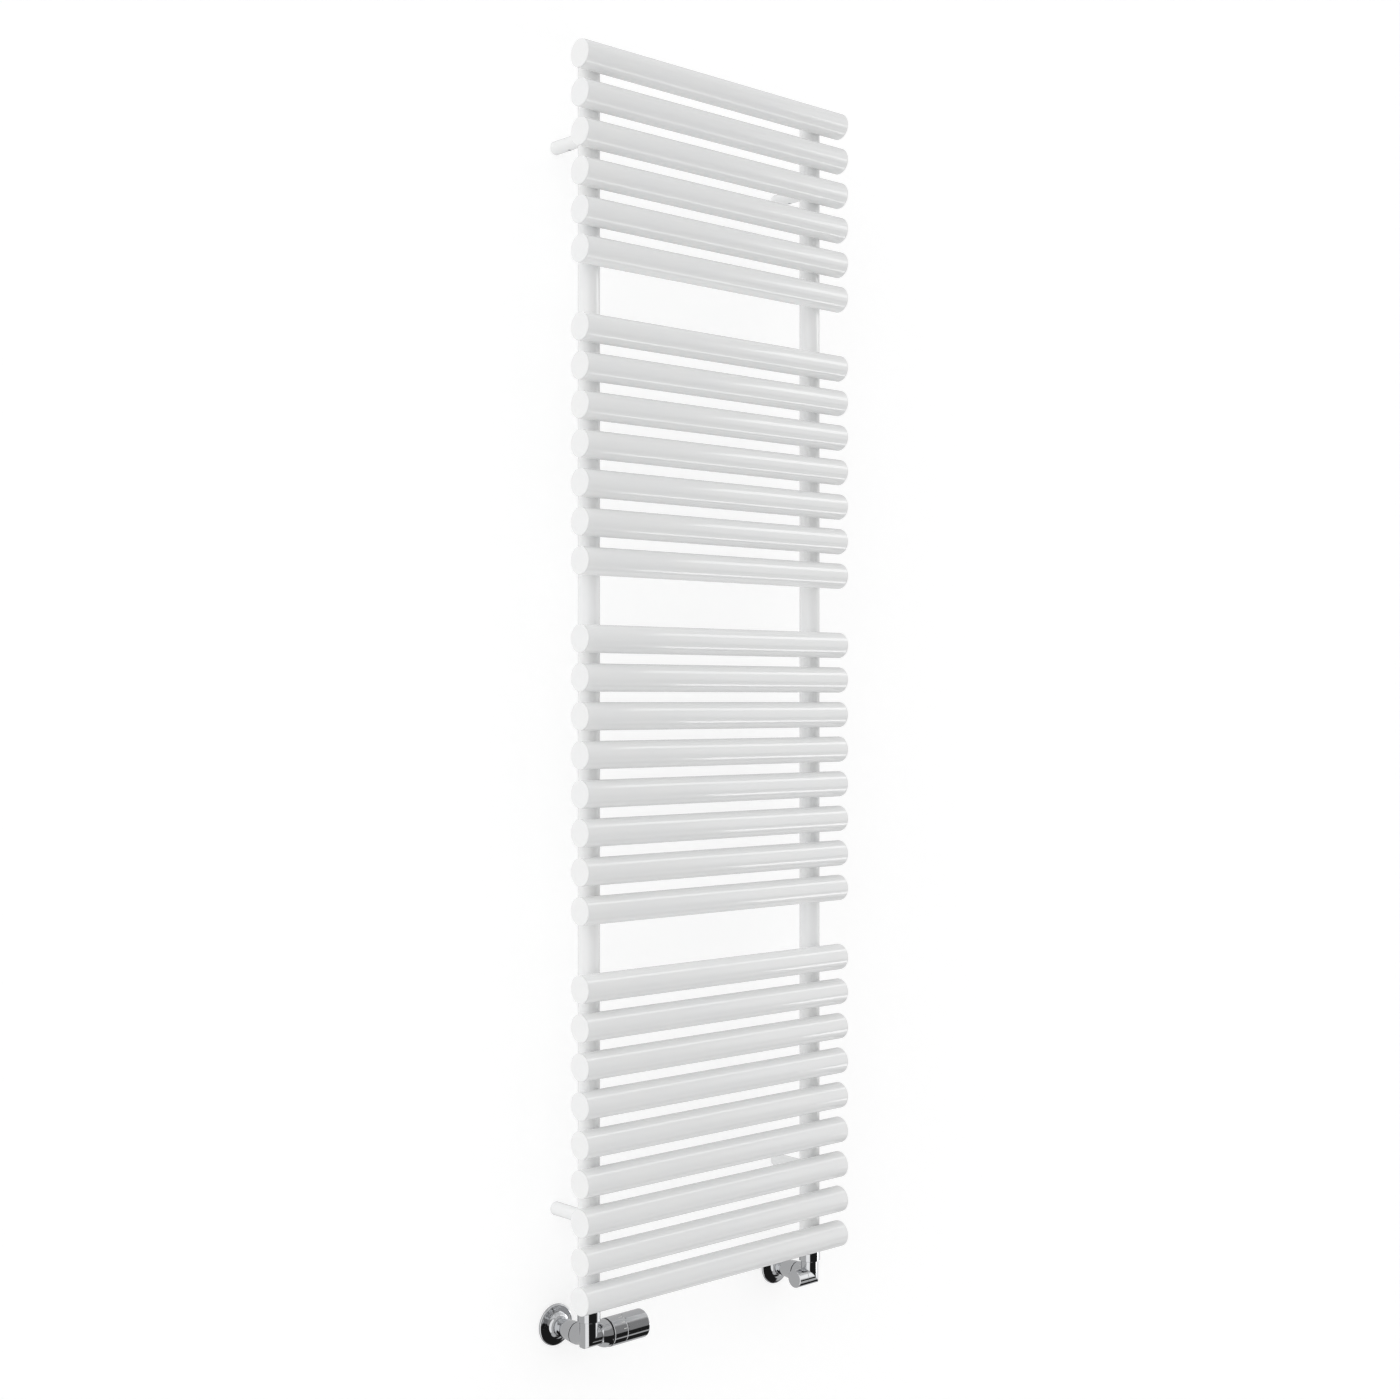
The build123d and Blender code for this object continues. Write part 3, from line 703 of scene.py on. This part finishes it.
paint_black = moulded("printed_black_paint", "#202022", "#161618", 0.4 * MM, 0.45, 1.5)
marks = {"handle_strokes": (strokes, paint_white), "handle_dots": (dots, paint_black)}
for name, (films, paint) in marks.items():
    piece(name, films, "polished_chrome", "handle", loop_rows=False, material=paint)

# %% [markdown]
# ## Camera
# The camera stands at the height of the radiator's middle, to its left, and is level, so that
# uprights stay upright. It has a 50 mm lens on a 36 mm frame, which keeps proportions natural.

# %% Camera
camera_data = bpy.data.cameras.new("camera")
camera_data.lens = 49.73
camera_data.sensor_width = 36.0
camera = bpy.data.objects.new("camera", camera_data)
camera.location = (-1.85995, -2.11629, -0.03013)
camera.rotation_euler = (math.radians(90), 0, math.radians(-42.18))
bpy.context.scene.collection.objects.link(camera)
bpy.context.scene.camera = camera
bpy.context.scene.view_settings.view_transform = "Standard"
print("camera:", camera_data.lens, "mm lens at", tuple(round(c, 2) for c in camera.location))

# %% [markdown]
# ## Stage
# A white cove (wall, floor and a wide round between them) stands behind and below the radiator.
# It could be three planes, but one profile drawn sideways has no corner to catch a shadow. It
# gives off a part of its light itself, as a lit studio wall seems to. Seen from behind, the wall
# lets the eye through, so that the radiator's back can be looked at.

# %% Cove shape
FLOOR_Z = -2.0
COVE_RADIUS = 0.35
COVE_REACH = 40.0
COVE_TOP = 20.0
WALL_GAP = 0.4 * MM
t = np.linspace(0, np.pi / 2, 13)
profile_y = np.concatenate([[-COVE_REACH], COVE_RADIUS * (np.sin(t) - 1), [0.0]]) + WALL_GAP
profile_z = np.concatenate([[FLOOR_Z], FLOOR_Z + COVE_RADIUS * (1 - np.cos(t)), [COVE_TOP]])
cove_points = np.stack(
    [
        np.tile([-COVE_REACH, COVE_REACH], len(t) + 2),
        np.repeat(profile_y, 2),
        np.repeat(profile_z, 2),
    ],
    -1,
)
rows = 2 * np.arange(len(t) + 1)
cove_quads = np.stack([rows, rows + 1, rows + 3, rows + 2], -1)
cove_mesh = bpy.data.meshes.new("studio_cove")
cove_mesh.from_pydata(cove_points, [], cove_quads.tolist())
cove_mesh.polygons.foreach_set("use_smooth", np.ones(len(cove_mesh.polygons), bool))
cove = bpy.data.objects.new("studio_cove", cove_mesh)
cove.visible_glossy = False
bpy.context.scene.collection.objects.link(cove)
print("cove:", len(cove_mesh.polygons), "faces")

# %% [markdown]
# The cove is matt white wall paint, with a roller's mottle. Its own glow is weaker on the floor
# than on the wall. A mix with a transparent shader, by the side that is seen, opens its back.

# %% Cove paint
MOTTLE = 20 * MM
FLOOR_GLOW = 0.2
WALL_GLOW = 0.52
matt_white, tree, place = empty_material("matt_white_cove")
mottle = add_node(
    tree, "ShaderNodeTexNoise", sockets={"Vector": place, "Scale": 1 / MOTTLE, "Detail": 3.0}
)
paint = add_node(
    tree,
    "ShaderNodeMix",
    {"data_type": "RGBA"},
    {"Factor": mottle.outputs["Fac"], 6: linear("#cacaca"), 7: linear("#cdcdcd")},
)
matt = add_node(tree, "ShaderNodeBsdfDiffuse", sockets={"Color": paint.outputs[2]})
level = add_node(tree, "ShaderNodeSeparateXYZ", sockets={0: place})
rise = add_node(
    tree,
    "ShaderNodeMapRange",
    sockets={
        "Value": level.outputs["Z"],
        "From Min": FLOOR_Z,
        "From Max": FLOOR_Z + COVE_RADIUS,
        "To Min": FLOOR_GLOW,
        "To Max": WALL_GLOW,
    },
)
glow = add_node(tree, "ShaderNodeEmission", sockets={"Strength": rise.outputs["Result"]})
lit = add_node(tree, "ShaderNodeAddShader", sockets={0: matt.outputs[0], 1: glow.outputs[0]})
seen = add_node(tree, "ShaderNodeNewGeometry").outputs["Backfacing"]
clear = add_node(tree, "ShaderNodeBsdfTransparent").outputs[0]
wall = add_node(tree, "ShaderNodeMixShader", sockets={0: seen, 1: lit.outputs[0], 2: clear})
finish_surface(tree, wall)
cove_mesh.materials.append(matt_white)
print("glow:", FLOOR_GLOW, "on the floor,", WALL_GLOW, "on the wall")

# %% [markdown]
# ## Light
# White paint needs soft, even light, and chrome needs a room with light and dark things in it to
# mirror. One set of lamps can hardly give both, so the world is split by the kind of ray: gloss
# sees the room, all else sees a smooth fill, and the camera sees plain pale grey. Things in the
# room are placed by direction: the azimuth is 0 toward the room (-Y) and grows to the left (-X),
# and the height is 0 on the horizon. The node tree has them in radians.

# %% Directions in the world
world = bpy.data.worlds.new("studio")
bpy.context.scene.world = world
world.use_nodes = True
tree = world.node_tree
tree.nodes.clear()
way = add_node(tree, "ShaderNodeTexCoord").outputs["Generated"]
turned = add_node(tree, "ShaderNodeVectorMath", {"operation": "SCALE"}, {0: way, "Scale": -1.0})
minus = add_node(tree, "ShaderNodeSeparateXYZ", sockets={0: turned.outputs[0]})
azimuth = add_node(
    tree, "ShaderNodeMath", {"operation": "ARCTAN2"}, {0: minus.outputs["X"], 1: minus.outputs["Y"]}
).outputs[0]
up = add_node(tree, "ShaderNodeSeparateXYZ", sockets={0: way}).outputs["Z"]
height = add_node(tree, "ShaderNodeMath", {"operation": "ARCSINE"}, {0: up}).outputs[0]


def window(value, low, high, soft, peak=1.0):
    """The peak between low and high degrees, falling to 0 over soft degrees on each side. The
    second ramp starts from the first one's result, which multiplies the two."""
    smooth = {"interpolation_type": "SMOOTHSTEP"}
    rise_from, rise_to = math.radians(low - soft), math.radians(low + soft)
    fall_from, fall_to = math.radians(high - soft), math.radians(high + soft)
    ramp = {"Value": value, "From Min": rise_from, "From Max": rise_to, "To Max": peak}
    risen = add_node(tree, "ShaderNodeMapRange", smooth, ramp).outputs["Result"]
    ramp = {"Value": value, "From Min": fall_from, "From Max": fall_to, "To Min": risen, "To Max": 0.0}
    return add_node(tree, "ShaderNodeMapRange", smooth, ramp).outputs["Result"]


print("directions ready in", world.name)

# %% [markdown]
# Softboxes and flags (black cloth that keeps light off) are laid over each other in order. Each
# is a window in azimuth and height, mixed over what is already there by its own softness. A
# round softbox to the right gives the chrome its broad light patch.

# %% Room that the gloss mirrors
PANELS = [
    # what it is, azimuth from and to, height from and to, softness, brightness
    ("front room", -100, 40, -14, 36, 4, 0.34),
    ("left softbox", 41, 83, -60, 60, 1.5, 1.4),
    ("front flag", -49, 40, -52, -9, 0.8, 0.02),
    ("right softbox", -100, -60, -31, -10, 1.5, 1.5),
    ("floor flag", -108, 40, -66, -42, 1.5, 0.02),
]
ROOM_BRIGHTNESS = 0.68
ROUND_BOX_CENTRE = (0.989, -0.142, 0.045)
ROUND_BOX_RADIUS = 39.7
ROUND_BOX_AZIMUTH = (-103, 0)
ROUND_BOX_BOTTOM = -13
ROUND_BOX_BRIGHTNESS = 1.6
OPEN_LOW = -10  # past every angle from the box's centre
OPEN_HIGH = 95  # past every height
room = ROOM_BRIGHTNESS
for label, az_low, az_high, el_low, el_high, soft, strength in PANELS:
    across = window(azimuth, az_low, az_high, soft)
    mask = window(height, el_low, el_high, soft, across)
    room = add_node(tree, "ShaderNodeMix", {"label": label}, {0: mask, 2: room, 3: strength}).outputs[0]
facing = add_node(
    tree, "ShaderNodeVectorMath", {"operation": "DOT_PRODUCT"}, {0: way, 1: ROUND_BOX_CENTRE}
)
from_centre = add_node(
    tree, "ShaderNodeMath", {"operation": "ARCCOSINE"}, {0: facing.outputs["Value"]}
).outputs[0]
mask = window(from_centre, OPEN_LOW, ROUND_BOX_RADIUS, 1.2)
mask = window(azimuth, *ROUND_BOX_AZIMUTH, 2, mask)
mask = window(height, ROUND_BOX_BOTTOM, OPEN_HIGH, 1, mask)
box = {"label": "round softbox"}
room = add_node(tree, "ShaderNodeMix", box, {0: mask, 2: room, 3: ROUND_BOX_BRIGHTNESS}).outputs[0]
print("lights and flags in the room:", len(PANELS) + 1)

# %% [markdown]
# The fill is a base light, a broad key from the left, and a little more from straight above and
# below, by the square of the upward part of the direction.

# %% Fill, and the split by ray
FILL = 0.85
KEY = 0.95
OVERHEAD = 0.3
KEY_AZIMUTH = (50, 130)
key = window(azimuth, *KEY_AZIMUTH, 8, KEY)
squared = add_node(tree, "ShaderNodeMath", {"operation": "MULTIPLY"}, {0: up, 1: up}).outputs[0]
overhead = add_node(
    tree, "ShaderNodeMath", {"operation": "MULTIPLY_ADD"}, {0: squared, 1: OVERHEAD, 2: FILL}
).outputs[0]
fill = add_node(tree, "ShaderNodeMath", {"operation": "ADD"}, {0: key, 1: overhead}).outputs[0]
for_gloss = add_node(tree, "ShaderNodeBackground", sockets={"Strength": room}).outputs[0]
for_paint = add_node(tree, "ShaderNodeBackground", sockets={"Strength": fill}).outputs[0]
for_camera = add_node(tree, "ShaderNodeBackground", sockets={"Color": linear("#e8eaeb")}).outputs[0]
ray = add_node(tree, "ShaderNodeLightPath")
split = add_node(
    tree, "ShaderNodeMixShader", sockets={0: ray.outputs["Is Glossy Ray"], 1: for_paint, 2: for_gloss}
).outputs[0]
split = add_node(
    tree, "ShaderNodeMixShader", sockets={0: ray.outputs["Is Camera Ray"], 1: split, 2: for_camera}
).outputs[0]
add_node(tree, "ShaderNodeOutputWorld", sockets={"Surface": split})
print("world nodes:", len(tree.nodes))

# %% [markdown]
# ## Strip lights
# A strip softbox draws the thin bright line along a glossy tube. Two of them stand to the right,
# one above and one below the middle. They are real area lights, because near lamps show at a
# different place on every tube, which a direction in the world can't give. They light gloss only.

# %% Strip lights
def strip_light(name, place, aim, size, power):
    """Long area light at place, turned to aim, that shows in the gloss and lights nothing else."""
    data = bpy.data.lights.new(name, "AREA")
    data.shape = "RECTANGLE"
    data.size, data.size_y = size
    data.energy = power
    lamp = bpy.data.objects.new(name, data)
    lamp.location = place
    x, y, z = np.array(aim) - np.array(place)
    lamp.rotation_euler = (math.atan2(math.hypot(x, y), -z), 0, math.atan2(-x, y))
    lamp.visible_diffuse = False
    lamp.visible_camera = False
    bpy.context.scene.collection.objects.link(lamp)
    print(name, size, "m,", power, "W")


strip_light(
    "upper_strip", place=(1.60, -0.75, 0.85), aim=(1.60, -0.1, -0.3), size=(1.7, 0.4), power=4.9
)
strip_light(
    "lower_strip", place=(2.00, -0.85, -1.15), aim=(2.00, -0.1, 0.3), size=(1.8, 0.34), power=7.0
)
